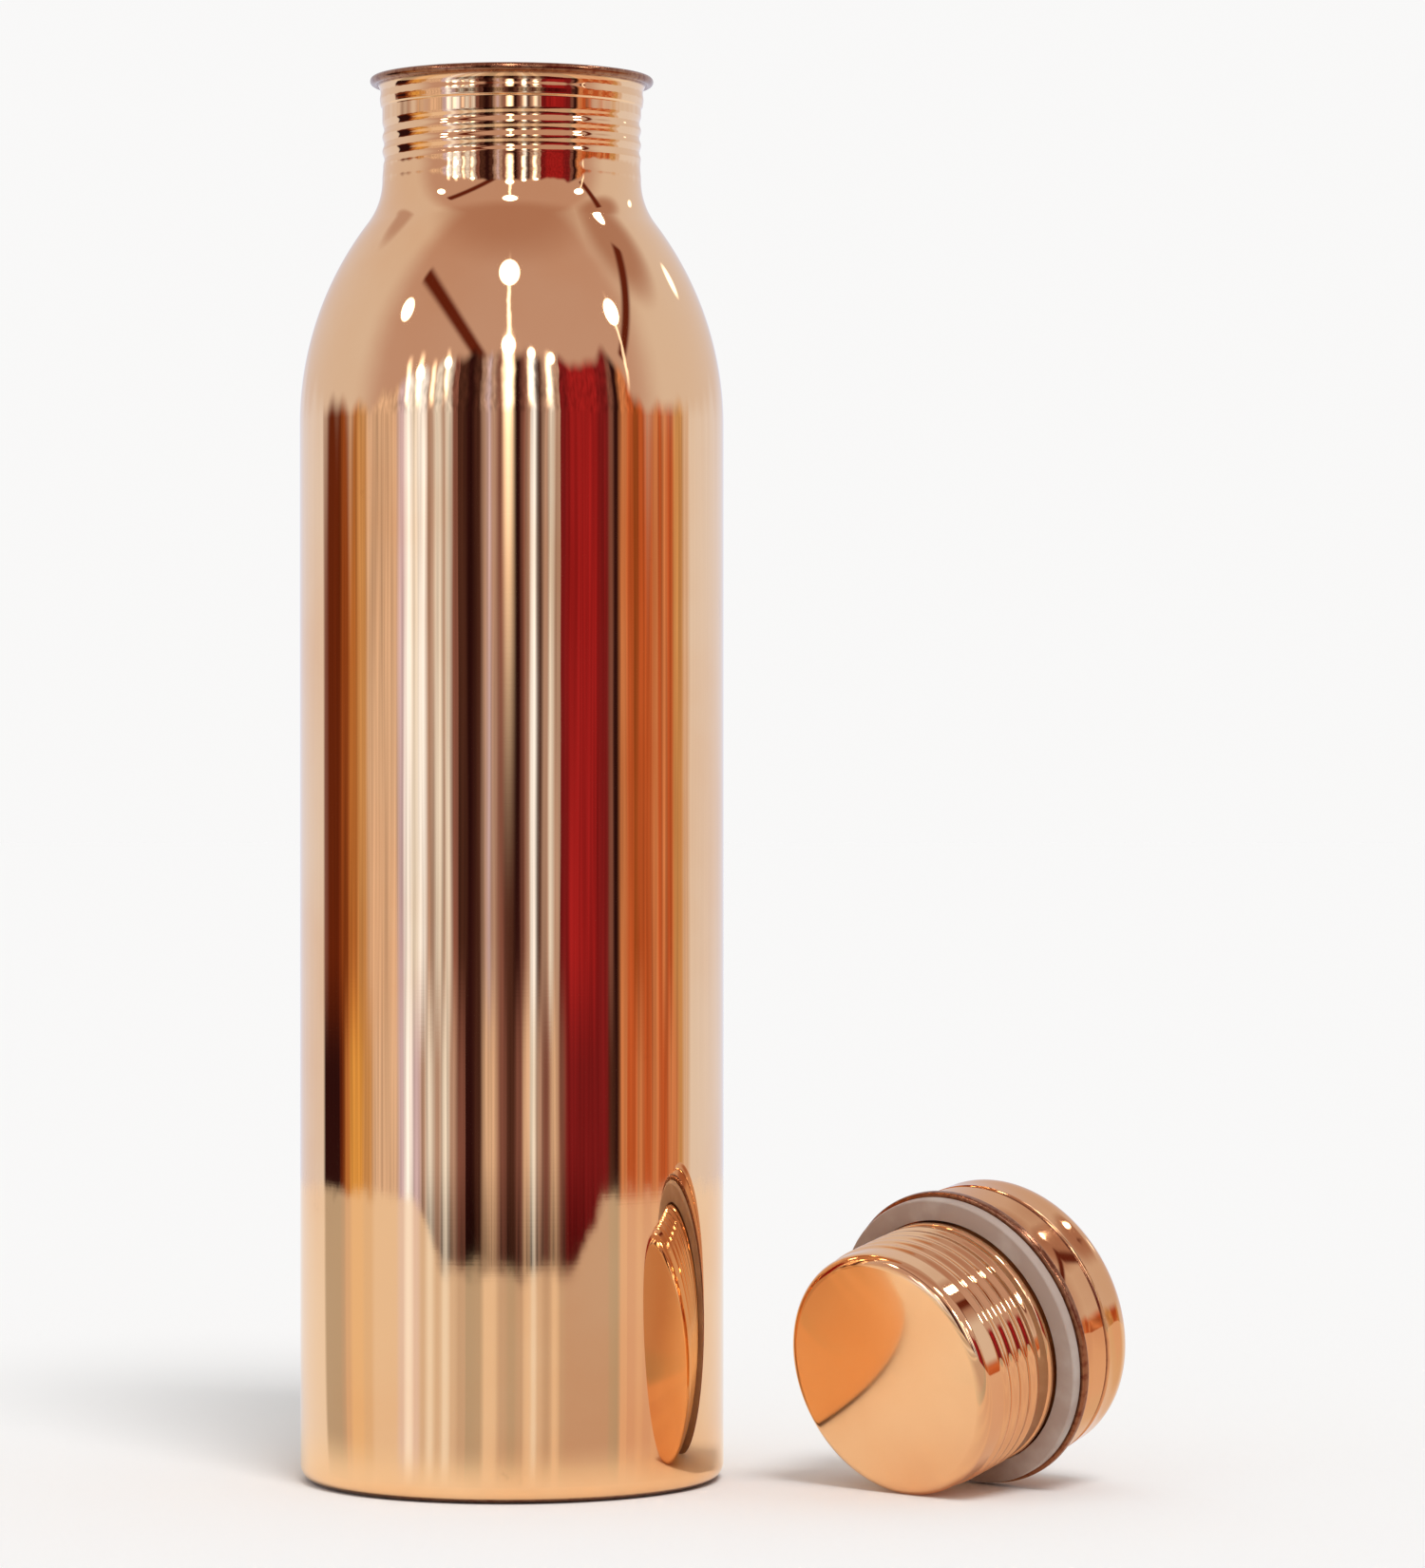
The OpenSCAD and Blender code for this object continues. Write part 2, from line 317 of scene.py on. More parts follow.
def bottle_face(depth):
    """One face of the bottle's sheet, from the middle of the base to the lip's bead."""
    base_flat_r = BODY_R - FOOT_R - FOOT_RING - 2 * BASE_BEND_R
    step = [
        (NECK_R - depth + (MOUTH_R - NECK_R) * smooth(t), MOUTH_Z + MOUTH_STEP * (t - 1))
        for t in (0, 0.2, 0.4, 0.6, 0.8, 1)
    ]
    base = (0, 2 * BASE_BEND_R + depth)
    foot = arc(BODY_R - FOOT_R, FOOT_R, FOOT_R - depth, 270, 360)
    shoulder = arc(BODY_R - SHOULDER_R, SHOULDER_Z, SHOULDER_R - depth, 0, SHOULDER_A, 0.75)
    fillet = arc(NECK_R + FILLET_R, NECK_Z, FILLET_R + depth, 180 + SHOULDER_A, 180, 1.0)
    flare = arc(MOUTH_R + FLARE_R, FLARE_Z, FLARE_R + depth, 180, lip_angle(depth))
    bend_in = arc(base_flat_r, BASE_BEND_R, BASE_BEND_R + depth, 90, 0, 6)
    bend_out = arc(base_flat_r + 2 * BASE_BEND_R, BASE_BEND_R, BASE_BEND_R - depth, 180, 270, 6)
    return (
        [base]
        + line(base, bend_in[0], WALL_STEP)
        + bend_in
        + bend_out
        + foot
        + line(foot[-1], shoulder[0], WALL_STEP)
        + shoulder
        + fillet[1:]
        + neck_wall(NECK_Z, NECK_Z + WAIST_W, NECK_R - depth, -WAIST_DEPTH, WAIST_W / 2)
        + line((NECK_R - depth, NECK_Z + WAIST_W), step[0], THREAD_STEP)
        + step
        + neck_wall(MOUTH_Z, FLARE_Z, MOUTH_R - depth, MOUTH_BULGE, MOUTH_BAND / 2)
        + flare
    )


def bottle_outline():
    bead = arc(BEAD_X, BEAD_Z, BEAD_R, bead_angle(0), bead_angle(SHEET) + 360, 12)
    return bottle_face(0) + bead[1:-1] + bottle_face(SHEET)[::-1]


def plug_outline():
    """The plug's sheet: end face, threaded wall, root bead, flange and the fold round its rim."""
    corner_x = PLUG_R - PLUG_CORNER_R
    corner_z = PLUG_END_Z + PLUG_CORNER_R
    corner = arc(corner_x, corner_z, PLUG_CORNER_R, 270, 360)
    bead_r = (ROOT_BEAD_H**2 + ROOT_BEAD_W**2 / 4) / (2 * ROOT_BEAD_H)
    bead_a = math.degrees(math.asin(ROOT_BEAD_W / 2 / bead_r))
    bead = arc(PLUG_R + ROOT_BEAD_H - bead_r, ROOT_BEAD_Z, bead_r, -bead_a, bead_a, 6)
    rim_top = FLANGE_Z + RIM_H
    return (
        [(0, PLUG_END_Z)]
        + line((0, PLUG_END_Z), corner[0], WALL_STEP)
        + corner
        + line(corner[-1], bead[0], THREAD_STEP)
        + bead
        + [(PLUG_R, FLANGE_Z)]
        + arc(RIM_R - RIM_EDGE_R, FLANGE_Z + RIM_EDGE_R, RIM_EDGE_R, 270, 360, 10)
        + arc(RIM_R - RIM_EDGE_R, rim_top - RIM_EDGE_R, RIM_EDGE_R, 0, 90, 10)
        + [
            (RIM_R - RIM_FOLD_W, rim_top),
            (RIM_R - RIM_FOLD_W, FLANGE_Z + 2 * SHEET),
            (RIM_R - SHEET, FLANGE_Z + 2 * SHEET),
            (RIM_R - SHEET, FLANGE_Z + SHEET),
            (PLUG_R - SHEET, FLANGE_Z + SHEET),
        ]
        + arc(corner_x, corner_z, PLUG_CORNER_R - SHEET, 360, 270)
        + [(0, PLUG_END_Z + SHEET)]
    )


def knob_face(depth):
    """One face of the knob's sheet, from the waist above the flange to the top."""
    shares = [i / KNOB_BULGE_STEPS for i in range(2, KNOB_BULGE_STEPS + 1)]
    bulge = [
        (KNOB_R - depth - KNOB_WAIST * (1 - math.sin(t * math.pi / 2)), KNOB_BULGE_H * t) for t in shares
    ]
    groove_x = KNOB_R + KNOB_GROOVE_R - KNOB_GROOVE_INSET
    crown_r = KNOB_R - KNOB_CORNER_R
    crown = [(x * crown_r, KNOB_H - depth + KNOB_CROWN * (1 - x * x)) for x in np.linspace(0.9, 0, 10)]
    return (
        bulge
        + arc(groove_x, KNOB_GROOVE_H, KNOB_GROOVE_R + depth, 250, 110, 10)
        + line((KNOB_R - depth, KNOB_GROOVE_H + 1), (KNOB_R - depth, KNOB_H - KNOB_CORNER_R), 1)
        + arc(crown_r, KNOB_H - KNOB_CORNER_R, KNOB_CORNER_R - depth, 0, 85)
        + crown
    )


def knob_outline():
    """The knob's sheet, with its foot between the plug's flange and the fold."""
    waist_r = KNOB_R - KNOB_WAIST
    foot = [(RIM_R - SHEET - RUNNING_GAP, 0), (RIM_R - SHEET - RUNNING_GAP, SHEET)]
    fillet = arc(waist_r + KNOB_FOOT_R, SHEET + KNOB_FOOT_R, KNOB_FOOT_R, 270, 180, 10)
    faces = foot + fillet + knob_face(0) + knob_face(SHEET)[::-1] + [(waist_r - SHEET, 0)]
    return [(x, z + FLANGE_Z + SHEET) for x, z in faces]


def gasket_outline():
    edge_x = GASKET_R - GASKET_EDGE_R
    bore = [(GASKET_BORE_R, GASKET_T), (GASKET_BORE_R, 0)]
    low = arc(edge_x, GASKET_EDGE_R, GASKET_EDGE_R, 270, 360, 15)
    high = arc(edge_x, GASKET_T - GASKET_EDGE_R, GASKET_EDGE_R, 0, 90, 15)
    return bore + low + high


def thread(start_z, turns, height):
    """How far a wall swells at an angle and a height, where a thread is rolled into it."""

    def swell(angle, z):
        turn = np.round((z - start_z) / PITCH - angle / TAU) + angle / TAU
        phase = (z - start_z - turn * PITCH) / PITCH
        fade = smooth(turn / RUNOUT_TURNS) * smooth((turns - turn) / RUNOUT_TURNS)
        return height * fade * (0.5 + 0.5 * np.cos(TAU * phase))

    return swell


def ring_faces(low, high):
    """Faces between two rings of vertex numbers. A ring of one vertex is a pole."""
    count = max(len(low), len(high))
    faces = []
    for i in range(count):
        j = (i + 1) % count
        corners = [low[i % len(low)], low[j % len(low)], high[j % len(high)], high[i % len(high)]]
        faces.append(list(dict.fromkeys(corners)))
    return faces


def lathe(name, outline, placed, swell=None, swell_z=(0, 0)):
    """A piece turned from a closed outline of (radius, height) points, round its place's Z axis."""
    angles = np.arange(SEGMENTS) * TAU / SEGMENTS
    points, rings = [], []
    for r, z in outline:
        first = len(points)
        if r == 0:
            points.append((0, 0, z * MM))
        else:
            threaded = swell is not None and swell_z[0] < z < swell_z[1]
            radii = r + (swell(angles, z) if threaded else 0 * angles)
            ring = zip(radii * np.cos(angles) * MM, radii * np.sin(angles) * MM)
            points.extend((x, y, z * MM) for x, y in ring)
        rings.append(range(first, len(points)))
    pairs = list(zip(rings, rings[1:]))
    if outline[0][0] > 0:
        pairs.append((rings[-1], rings[0]))
    mesh = bpy.data.meshes.new(name)
    mesh.from_pydata(points, [], [face for pair in pairs for face in ring_faces(*pair)])
    mesh.transform(placed)
    turn_outwards(mesh)
    mesh.shade_smooth()
    mesh.set_sharp_from_angle(angle=SHARP_ANGLE)
    piece = bpy.data.objects.new(name, mesh)
    bpy.context.scene.collection.objects.link(piece)
    return piece


def turn_outwards(mesh):
    work = bmesh.new()
    work.from_mesh(mesh)
    bmesh.ops.recalc_face_normals(work, faces=work.faces)
    work.to_mesh(mesh)
    work.free()


def cap_place(joints):
    """The cap's own frame where the cap lies: its seat, with Z along the axis that it turns about."""
    joint = next(j for j in joints if j["name"] == "cap_turn")
    axis = Vector(joint["axis"]).normalized()
    down = Vector((0, 0, -1))
    side = (down - axis * down.dot(axis)).normalized()
    turned = Matrix((side, axis.cross(side), axis)).transposed().to_4x4()
    return Matrix.Translation(joint["pos_m"]) @ turned


def node(tree, kind, inputs=(), **settings):
    """Adds a shader node. Each input is a plain value, or the socket that feeds it."""
    made = tree.nodes.new("ShaderNode" + kind)
    for name, value in settings.items():
        setattr(made, name, value)
    for name, source in dict(inputs).items():
        if isinstance(source, bpy.types.NodeSocket):
            tree.links.new(source, made.inputs[name])
        else:
            made.inputs[name].default_value = source
    return made


def maths(tree, operation, *values):
    return node(tree, "Math", enumerate(values), operation=operation).outputs[0]


def fade(tree, value, low, high, to_low=0.0, to_high=1.0):
    """Takes a value from low to high smoothly over to the range to_low to to_high."""
    inputs = {"Value": value, "From Min": low, "From Max": high, "To Min": to_low, "To Max": to_high}
    return node(tree, "MapRange", inputs, interpolation_type="SMOOTHSTEP").outputs[0]


def blend(tree, share, low, high):
    """Mixes two colours."""
    low, high = (c if isinstance(c, bpy.types.NodeSocket) else (*c, 1) for c in (low, high))
    return node(tree, "Mix", {0: share, 6: low, 7: high}, data_type="RGBA").outputs[2]


def noise(tree, vector, scale, detail=3.0, w=None):
    inputs = {"Vector": vector, "Scale": scale, "Detail": detail}
    if w is not None:
        inputs["W"] = w
    dimensions = "3D" if w is None else "4D"
    return node(tree, "TexNoise", inputs, noise_dimensions=dimensions).outputs["Fac"]


def new_material(name):
    material = bpy.data.materials.new(name)
    material.use_nodes = True
    material.node_tree.nodes.clear()
    return material, material.node_tree


def finish_surface(tree, shader):
    node(tree, "OutputMaterial", {"Surface": shader.outputs[0]})


def spun_lines(tree, place, scale):
    """Fine lines round the axis, left by polishing on a lathe, on walls and end faces alike."""
    grain = (SPUN_LINE_SIDE_SCALE, SPUN_LINE_SIDE_SCALE, scale)
    stretch = node(tree, "Mapping", {"Vector": place, "Scale": grain}).outputs[0]
    across = node(tree, "Mapping", {"Vector": place, "Scale": (1, 1, 0)}).outputs[0]
    radius = node(tree, "VectorMath", {0: across}, operation="LENGTH").outputs["Value"]
    return noise(tree, stretch, 1.0, 4.0, w=maths(tree, "MULTIPLY", radius, scale))


def own_frame(tree, placed):
    """Where a point of the surface is in its piece's own frame."""
    whole = node(tree, "TexCoord").outputs["Object"]
    inputs = {"Vector": whole, "Location": placed.to_translation(), "Rotation": placed.to_euler()}
    return node(tree, "Mapping", inputs, vector_type="TEXTURE").outputs[0]


def band_mask(tree, place, bands):
    """1 on the bands of a piece between two heights in its own frame, in millimetres."""
    height = maths(tree, "DIVIDE", node(tree, "SeparateXYZ", {0: place}).outputs["Z"], MM)
    mask = 0.0
    for low, high in bands:
        above = fade(tree, height, low - BAND_SOFTNESS, low)
        below = fade(tree, height, high, high + BAND_SOFTNESS, 1.0, 0.0)
        mask = maths(tree, "MAXIMUM", maths(tree, "MULTIPLY", above, below), mask)
    return mask


def copper_material(name, tint, roughness, placed, painted_shade_bands):
    """Polished copper with spun lines, faint waves, smudges and spots of tarnish, and painted shade,
    darker and rougher, in the dark bands.
    """
    material, tree = new_material(name)
    place = own_frame(tree, placed)
    lines = spun_lines(tree, place, SPUN_LINE_SCALE)
    cloud = noise(tree, place, CLOUD_SCALE, 5)
    smudge = noise(tree, place, SMUDGE_SCALE, 6)
    speck = noise(tree, place, SPECK_SCALE, 2)
    colour = blend(tree, fade(tree, cloud, 0.4, 0.75), tint, COPPER_DEEP)
    spots = maths(tree, "MULTIPLY", fade(tree, smudge, 0.68, 0.85), fade(tree, speck, 0.45, 0.7))
    # Painted shade: the dark bands go over to the tarnish colour, a little lighter where the specks are
    edge = band_mask(tree, place, painted_shade_bands)
    painted_band_shade = maths(tree, "MULTIPLY", edge, fade(tree, speck, 0.2, 0.6, 1.0, 0.8))
    # Random tarnish spots and the painted shade of the bands, together
    tarnish_and_painted_shade = maths(tree, "MAXIMUM", maths(tree, "MULTIPLY", spots, SPOT_TARNISH), painted_band_shade)
    colour = blend(tree, tarnish_and_painted_shade, colour, COPPER_TARNISH_AND_PAINTED_SHADE)
    rough = fade(tree, smudge, 0.35, 0.75, roughness, roughness * SMUDGE_ROUGHENS)
    rough = maths(tree, "ADD", rough, maths(tree, "MULTIPLY", edge, SHADE_BAND_ROUGHNESS))
    waves = noise(tree, place, WAVE_SCALE, 1)
    swells = node(tree, "Bump", {"Strength": 1.0, "Distance": WAVE_DEPTH, "Height": waves})
    fine = {"Strength": 0.2, "Distance": SPUN_LINE_DEPTH, "Height": lines, "Normal": swells.outputs[0]}
    bump = node(tree, "Bump", fine)
    inputs = {"Base Color": colour, "Metallic": 1.0, "Roughness": rough, "Normal": bump.outputs[0]}
    finish_surface(tree, node(tree, "BsdfPrincipled", inputs))
    return material


def silicone_material():
    """Grey silicone rubber with moulded grain, dusty patches and a soft sheen."""
    material, tree = new_material("silicone")
    place = node(tree, "TexCoord").outputs["Object"]
    dust = noise(tree, place, DUST_SCALE, 5)
    grain = noise(tree, place, GRAIN_SCALE, 2)
    colour = blend(tree, fade(tree, dust, 0.45, 0.75), SILICONE, SILICONE_DUST)
    rough = fade(tree, dust, 0.3, 0.7, *SILICONE_ROUGHNESS)
    bump = node(tree, "Bump", {"Strength": 0.3, "Distance": GRAIN_DEPTH, "Height": grain})
    inputs = {"Base Color": colour, "Roughness": rough, "Normal": bump.outputs[0], "IOR": 1.42}
    finish_surface(tree, node(tree, "BsdfPrincipled", inputs))
    return material


def add_piece(piece, material, body, cad_node):
    piece.data.materials.append(material)
    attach(piece, body)
    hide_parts(cad_node)


def build_pieces(frame):
    """Turns the four pieces. Each gets its material, its body and the CAD node that it replaces."""
    upright = Matrix.Identity(4)
    lying = cap_place(frame["joints"])
    neck_thread = thread(NECK_THREAD_Z, NECK_TURNS, -NECK_THREAD_DEPTH)
    plug_thread = thread(PLUG_THREAD_Z, PLUG_TURNS, THREAD_H)
    neck_z = (NECK_Z, MOUTH_Z - MOUTH_STEP)
    plug_z = (PLUG_END_Z + PLUG_CORNER_R, ROOT_BEAD_Z - ROOT_BEAD_W / 2)
    bottle = lathe("bottle_shell", bottle_outline(), upright, neck_thread, neck_z)
    plug = lathe("plug_shell", plug_outline(), lying, plug_thread, plug_z)
    knob = lathe("knob_shell", knob_outline(), lying)
    gasket = lathe("gasket_ring", gasket_outline(), lying)
    # Bands of painted shade: the top of the lip, the foot, the plug's rim and the knob's groove
    lip_and_foot = [(BOTTLE_H - 2 * BEAD_R, BOTTLE_H), (0, FOOT_PAINTED_SHADE_H)]
    rim = [(FLANGE_Z, FLANGE_Z + RIM_H)]
    groove_z = FLANGE_Z + SHEET + KNOB_GROOVE_H
    groove = [(groove_z - GROOVE_PAINTED_SHADE_W / 2, groove_z + GROOVE_PAINTED_SHADE_W / 2)]
    bottle_copper = copper_material("bottle_copper", COPPER, BOTTLE_ROUGHNESS, upright, lip_and_foot)
    plug_copper = copper_material("plug_copper", COPPER, PLUG_ROUGHNESS, lying, rim)
    knob_copper = copper_material("knob_copper", KNOB_COPPER_SHADED, KNOB_ROUGHNESS, lying, groove)
    add_piece(bottle, bottle_copper, "bottle", "bottle")
    add_piece(plug, plug_copper, "cap", "plug")
    add_piece(knob, knob_copper, "cap", "knob")
    add_piece(gasket, silicone_material(), "gasket", "gasket")


def seen_in_copper(colour):
    """The light that polished copper shows as this colour, given as 0 to 255."""
    linear = [((c / 255 + 0.055) / 1.055) ** 2.4 for c in colour]
    return tuple(c / tint for c, tint in zip(linear, COPPER))


def stripe_stops(stripes, end):
    """The colour stops of some stripes: two for each, a little inside its edges."""
    ends = [start for start, _ in stripes[1:]] + [end]
    stops = []
    for (start, colour), stop in zip(stripes, ends):
        inset = STRIPE_SOFTNESS * min(stop - start, 6)
        stops += [(start + inset, colour), (stop - inset, colour)]
    return stops


def stripe_ramp(tree, azimuth, stops):
    """A colour ramp over the azimuth in degrees."""
    place = maths(tree, "DIVIDE", maths(tree, "ADD", azimuth, 180), 360)
    ramp = node(tree, "ValToRGB", {"Fac": place})
    elements = ramp.color_ramp.elements
    elements.remove(elements[1])
    elements[0].position = (stops[0][0] + 180) / 360
    elements[0].color = (*seen_in_copper(stops[0][1]), 1)
    for at, colour in stops[1:]:
        elements.new((at + 180) / 360).color = (*seen_in_copper(colour), 1)
    return ramp.outputs["Color"]


def stripes(tree, azimuth, room_stripes):
    """All the stripes of a room, in as many ramps as their stops need."""
    per_ramp = MOST_STOPS // 2
    colour = None
    for first in range(0, len(room_stripes), per_ramp):
        part = room_stripes[first : first + per_ramp]
        start = part[0][0]
        end = (room_stripes + [(180, PALE)])[first + len(part)][0]
        ramp = stripe_ramp(tree, azimuth, stripe_stops(part, end))
        if colour is None:
            colour = ramp
        else:
            colour = blend(tree, fade(tree, azimuth, start - 0.2, start + 0.2), colour, ramp)
    return colour


def towards(azimuth, elevation):
    """The direction at an azimuth and an elevation in degrees."""
    turn = math.radians(azimuth)
    rise = math.radians(elevation)
    return Vector((math.cos(rise) * math.sin(turn), -math.cos(rise) * math.cos(turn), math.sin(rise)))


def closeness(tree, direction, other):
    """How far a direction goes along another one: 1 where they are the same."""
    return node(tree, "VectorMath", {0: direction, 1: other}, operation="DOT_PRODUCT").outputs["Value"]


def round_spot(tree, direction, azimuth, elevation, radius, strength):
    """A round spot in the room with a soft edge, such as a lamp."""
    close = closeness(tree, direction, towards(azimuth, elevation))
    edge = math.cos(math.radians(radius))
    middle = math.cos(math.radians(radius / 3))
    return fade(tree, close, edge, middle, 0.0, strength)


def line_light(tree, azimuth, height, at, low, high, half_w, brightness):
    """A thin upright light, which tapers at both ends."""
    aside = maths(tree, "ABSOLUTE", maths(tree, "SUBTRACT", azimuth, at))
    low_z, high_z = (math.sin(math.radians(e)) for e in (low, high))
    third = (high_z - low_z) / 3
    near = fade(tree, aside, 0, half_w, brightness, 0.0)
    rising = fade(tree, height, low_z, low_z + third)
    falling = fade(tree, height, high_z - third, high_z, 1.0, 0.0)
    return maths(tree, "MULTIPLY", near, maths(tree, "MULTIPLY", rising, falling))


def beam_shade(tree, direction, start, end, half_w):
    """1 on a dark beam, which runs straight from one direction to another."""
    first, last = towards(*start), towards(*end)
    across = first.cross(last).normalized()
    reach = first.angle(last) / 2
    off = maths(tree, "ABSOLUTE", closeness(tree, direction, across))
    width = math.sin(math.radians(half_w))
    near = fade(tree, off, width * 0.4, width * 1.5, 1.0, 0.0)
    along = closeness(tree, direction, (first + last).normalized())
    between = fade(tree, along, math.cos(reach * 1.05), math.cos(reach * 0.95))
    return maths(tree, "MULTIPLY", near, between)


def total(tree, values, operation="ADD"):
    """Takes all the values together by one operation."""
    result = 0.0
    for value in values:
        result = maths(tree, operation, value, result)
    return result


def azimuth_of(tree, x, front):
    """The azimuth in degrees of a direction, from its share to the right and to the front."""
    return maths(tree, "DEGREES", maths(tree, "ARCTAN2", x, front))


def ceiling_colour(tree, direction, azimuth, height):
    """A pale ceiling, darker in front and overhead, with dark beams."""
    aside = maths(tree, "ABSOLUTE", azimuth)
    front = fade(tree, aside, *CEILING_FRONT_SIDE, 1.0, 0.0)
    plain = blend(tree, front, seen_in_copper(CEILING), seen_in_copper(CEILING_FRONT))
    overhead = fade(tree, height, *CEILING_OVERHEAD_Z, 0.0, CEILING_OVERHEAD_SHADE)
    patches = [round_spot(tree, direction, *patch) for patch in CEILING_PATCHES]
    shaded = total(tree, [overhead] + patches, "MAXIMUM")
    plain = blend(tree, shaded, plain, seen_in_copper(CEILING_OVERHEAD))
    beams = total(tree, (beam_shade(tree, direction, *beam) for beam in BEAMS), "MAXIMUM")
    return blend(tree, beams, plain, seen_in_copper(BEAM))


def wall_colour(tree, azimuth, height):
    """The striped walls, with small changes along each stripe."""
    change = fade(tree, height, LOWER_ROOM_Z - ROOM_CHANGE, LOWER_ROOM_Z + ROOM_CHANGE)
    colour = blend(tree, change, stripes(tree, azimuth, LOWER_ROOM), stripes(tree, azimuth, UPPER_ROOM))
    across = maths(tree, "MULTIPLY", azimuth, STREAK_GRAIN[0])
    along = maths(tree, "MULTIPLY", height, STREAK_GRAIN[1])
    spot = node(tree, "CombineXYZ", {0: across, 1: along}).outputs[0]
    aside = maths(tree, "ABSOLUTE", azimuth)
    uneven = maths(tree, "SUBTRACT", noise(tree, spot, 1.0, 1), 0.5)
    uneven = maths(tree, "MULTIPLY", uneven, fade(tree, aside, *STREAK_SIDE, *STREAK_STRENGTH))
    low = fade(tree, height, *WALL_FOOT_Z, WALL_FOOT_SHADE, 0.0)
    foot = maths(tree, "MULTIPLY", low, fade(tree, aside, *WALL_FOOT_SIDE, 1.0, 0.0))
    level = maths(tree, "SUBTRACT", maths(tree, "ADD", uneven, 1.0), foot)
    return node(tree, "VectorMath", {0: colour, "Scale": level}, operation="SCALE").outputs[0]


def room(tree, direction):
    """The room in one direction: stripes up to the wall's top, then the ceiling, and lamps over both."""
    parts = node(tree, "SeparateXYZ", {0: direction}).outputs
    height = parts["Z"]
    front = maths(tree, "MULTIPLY", parts["Y"], -1)
    wobble = maths(tree, "SUBTRACT", noise(tree, direction, WOBBLE_SCALE, 2), 0.5)
    azimuth = maths(tree, "MULTIPLY_ADD", wobble, STRIPE_WOBBLE, azimuth_of(tree, parts["X"], front))
    top = maths(tree, "MAXIMUM", maths(tree, "MULTIPLY", front, WALL_TOP_FRONT), WALL_TOP_SIDE)
    row = node(tree, "CombineXYZ", {0: maths(tree, "MULTIPLY", azimuth, WALL_TOP_GRAIN)}).outputs[0]
    ragged = maths(tree, "SUBTRACT", noise(tree, row, 1.0, 0), 0.5)
    top = maths(tree, "MULTIPLY_ADD", ragged, WALL_TOP_ROUGHNESS, top)
    off = maths(tree, "ABSOLUTE", maths(tree, "SUBTRACT", azimuth, TALL_WALL[0]))
    top = maths(tree, "ADD", top, fade(tree, off, 0, TALL_WALL[1], TALL_WALL_RISE, 0.0))
    above = maths(tree, "SUBTRACT", height, top)
    ceiling = fade(tree, above, -WALL_TOP_SOFTNESS, WALL_TOP_SOFTNESS)
    above_wall = ceiling_colour(tree, direction, azimuth, height)
    colour = blend(tree, ceiling, wall_colour(tree, azimuth, height), above_wall)
    lamps = [round_spot(tree, direction, *lamp) for lamp in LAMPS]
    lines = [line_light(tree, azimuth, height, *light) for light in LIGHT_LINES]
    lit = total(tree, lamps + lines)
    return node(tree, "VectorMath", {0: colour, 1: lit}, operation="ADD").outputs[0]


def floor_level():
    """How bright the open floor looks, so that the background can match it."""
    key = KEY_LIGHT * math.cos(KEY_TILT[0]) / math.pi
    return tuple(c * (SKY_LIGHT + key) for c in FLOOR_COLOUR)


def build_world():
    """Plain light for the floor and the rubber, and the room for what the copper mirrors."""
    world = bpy.data.worlds.new("studio")
    world.use_nodes = True
    tree = world.node_tree
    tree.nodes.clear()
    rays = node(tree, "LightPath").outputs
    direction = node(tree, "TexCoord").outputs["Generated"]
    plain = blend(tree, rays["Is Camera Ray"], (SKY_LIGHT, SKY_LIGHT, SKY_LIGHT), floor_level())
    colour = blend(tree, rays["Is Glossy Ray"], plain, room(tree, direction))
    background = node(tree, "Background", {"Color": colour})
    node(tree, "OutputWorld", {"Surface": background.outputs[0]})
    bpy.context.scene.world = world


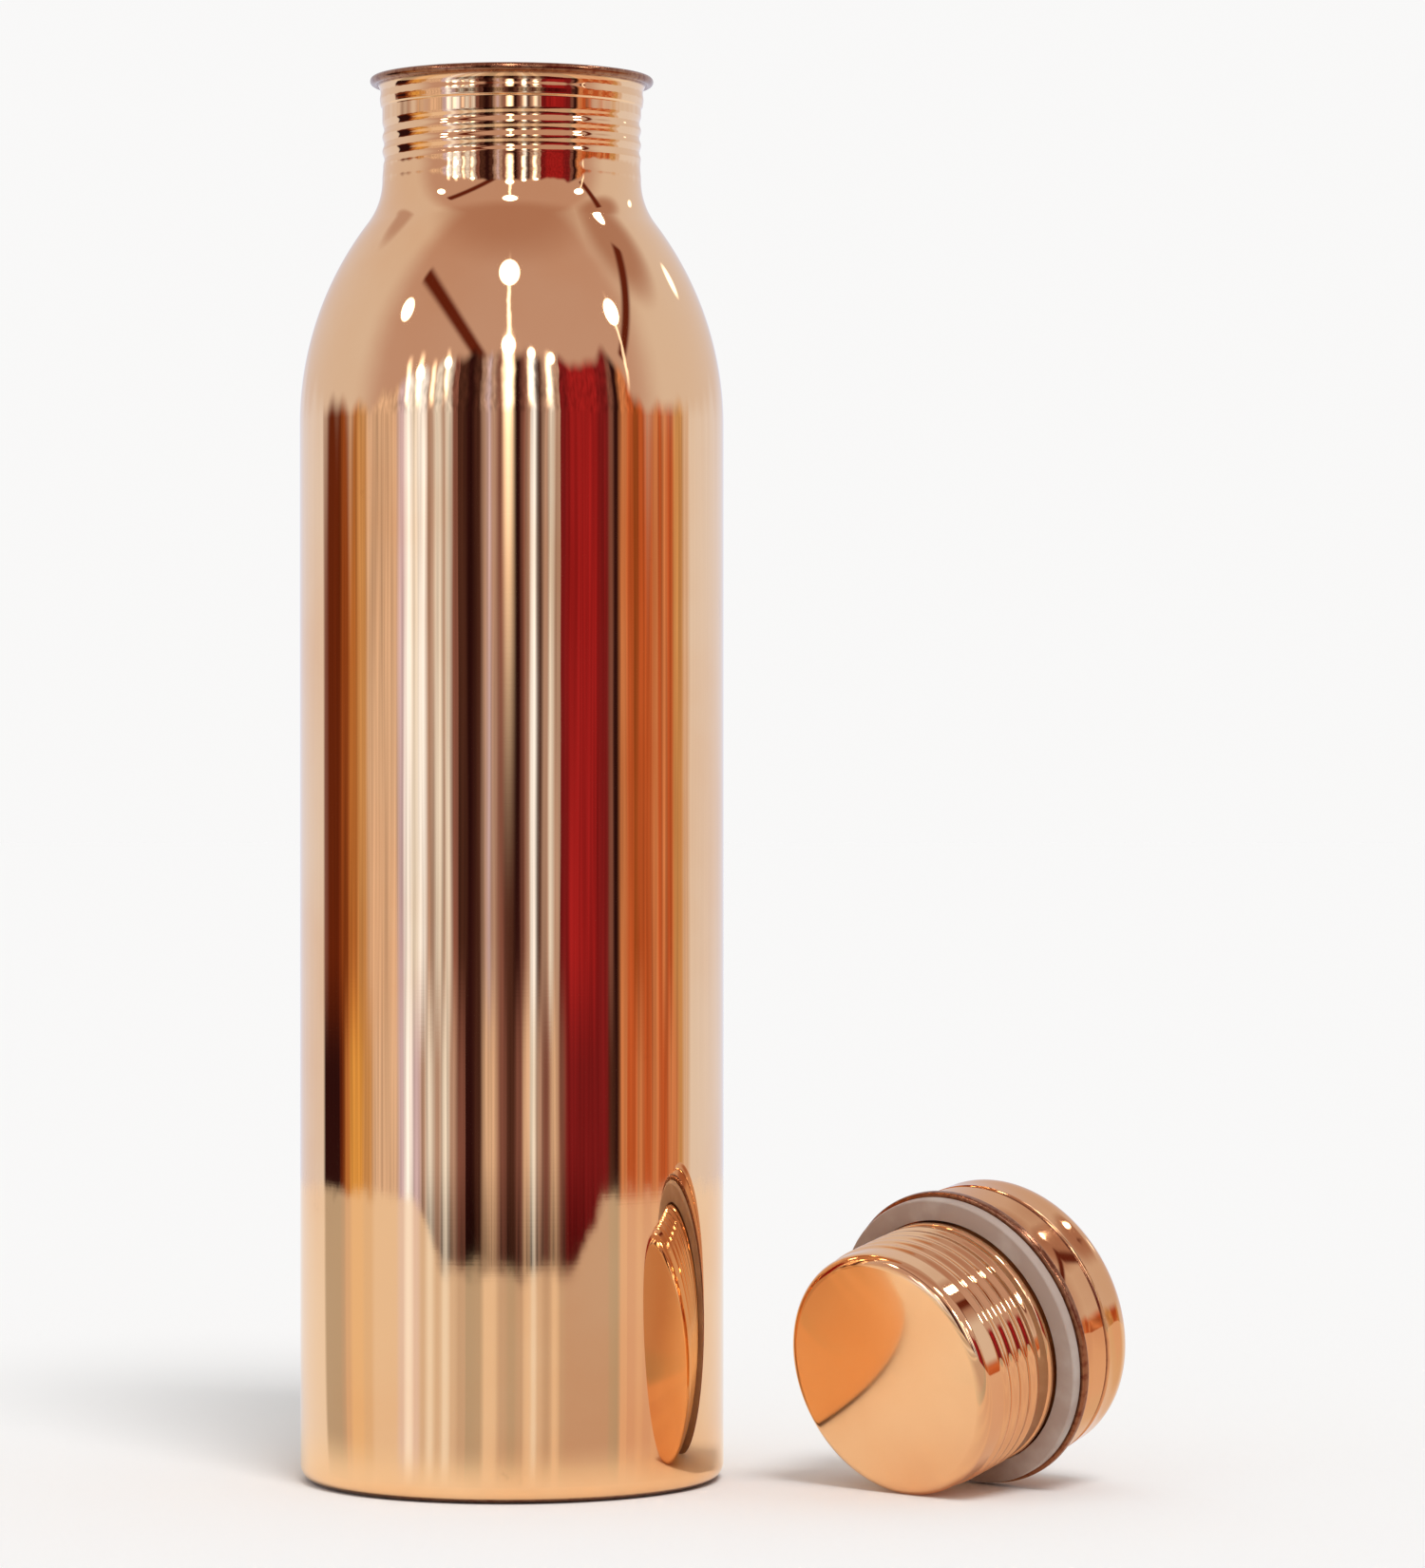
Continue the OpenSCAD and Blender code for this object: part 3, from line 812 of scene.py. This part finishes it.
def floor_material():
    """Pale floor. In reflections it is a table top with a painted reflection of the lower stripes, which
    glow from it for glossy rays, and the room shows past its edge.
    """
    material, tree = new_material("pale_floor")
    place = node(tree, "NewGeometry").outputs["Position"]
    parts = node(tree, "SeparateXYZ", {0: place}).outputs
    glossy = node(tree, "LightPath").outputs["Is Glossy Ray"]
    front = maths(tree, "MULTIPLY", parts["Y"], -1)
    away = node(tree, "VectorMath", {0: place}, operation="LENGTH").outputs["Value"]
    azimuth = azimuth_of(tree, parts["X"], front)
    aside = maths(tree, "ABSOLUTE", azimuth)
    reach = fade(tree, aside, *TABLE_WIDENS, TABLE_FRONT, TABLE_SIDE)
    uneven = maths(tree, "SUBTRACT", noise(tree, place, TABLE_EDGE_SCALE), 0.5)
    past = maths(tree, "MULTIPLY_ADD", uneven, TABLE_EDGE_WOBBLE, maths(tree, "SUBTRACT", away, reach))
    gone = fade(tree, past, -TABLE_EDGE_SOFTNESS, TABLE_EDGE_SOFTNESS)
    outside = maths(tree, "MULTIPLY", glossy, gone)
    matte = node(tree, "BsdfDiffuse", {"Color": blend(tree, glossy, FLOOR_COLOUR, TABLE_COLOUR)})
    widening = maths(tree, "DIVIDE", away, maths(tree, "SUBTRACT", away, BODY_R * MM / 2))
    across = maths(tree, "MULTIPLY", azimuth, widening)
    # Painted reflection: the lower stripes, widened with distance, glow from the table top for glossy
    # rays
    painted_reflection = node(tree, "Emission", {"Color": stripes(tree, across, LOWER_ROOM)})
    share = maths(tree, "MULTIPLY", glossy, fade(tree, away, *TABLE_PAINTED_REFLECTION_FROM, 0.0, TABLE_PAINTED_REFLECTION))
    top = node(tree, "MixShader", {0: share, 1: matte.outputs[0], 2: painted_reflection.outputs[0]})
    clear = node(tree, "BsdfTransparent")
    finish_surface(tree, node(tree, "MixShader", {0: outside, 1: top.outputs[0], 2: clear.outputs[0]}))
    return material


def build_stage():
    mesh = bpy.data.meshes.new("floor")
    reach = FLOOR_SIZE / 2
    corners = [(-reach, -reach, 0), (reach, -reach, 0), (reach, reach, 0), (-reach, reach, 0)]
    mesh.from_pydata(corners, [], [(0, 1, 2, 3)])
    mesh.materials.append(floor_material())
    floor = bpy.data.objects.new("floor", mesh)
    bpy.context.scene.collection.objects.link(floor)
    key = bpy.data.lights.new("key", "SUN")
    key.energy = KEY_LIGHT
    key.angle = KEY_ANGLE
    lamp = bpy.data.objects.new("key", key)
    lamp.rotation_euler = KEY_TILT
    lamp.visible_glossy = False
    bpy.context.scene.collection.objects.link(lamp)


def build_camera():
    data = bpy.data.cameras.new("camera")
    data.sensor_width = CAMERA_SENSOR_W
    data.lens = CAMERA_LENS
    camera = bpy.data.objects.new("camera", data)
    camera.location = CAMERA_AT
    aim = Vector(CAMERA_AIM) - Vector(CAMERA_AT)
    camera.rotation_euler = aim.to_track_quat("-Z", "Y").to_euler()
    bpy.context.scene.collection.objects.link(camera)
    bpy.context.scene.camera = camera


with open("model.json") as file:
    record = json.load(file)
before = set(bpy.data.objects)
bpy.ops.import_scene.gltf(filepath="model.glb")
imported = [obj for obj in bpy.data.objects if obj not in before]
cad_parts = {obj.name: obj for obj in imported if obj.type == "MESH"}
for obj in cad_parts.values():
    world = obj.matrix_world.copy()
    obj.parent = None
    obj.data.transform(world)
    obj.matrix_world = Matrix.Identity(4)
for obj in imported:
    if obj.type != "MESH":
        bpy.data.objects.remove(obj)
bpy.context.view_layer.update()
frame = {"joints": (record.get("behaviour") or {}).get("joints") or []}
build_camera()
build_world()
build_stage()
build_pieces(frame)
bpy.context.scene.view_settings.view_transform = "Standard"
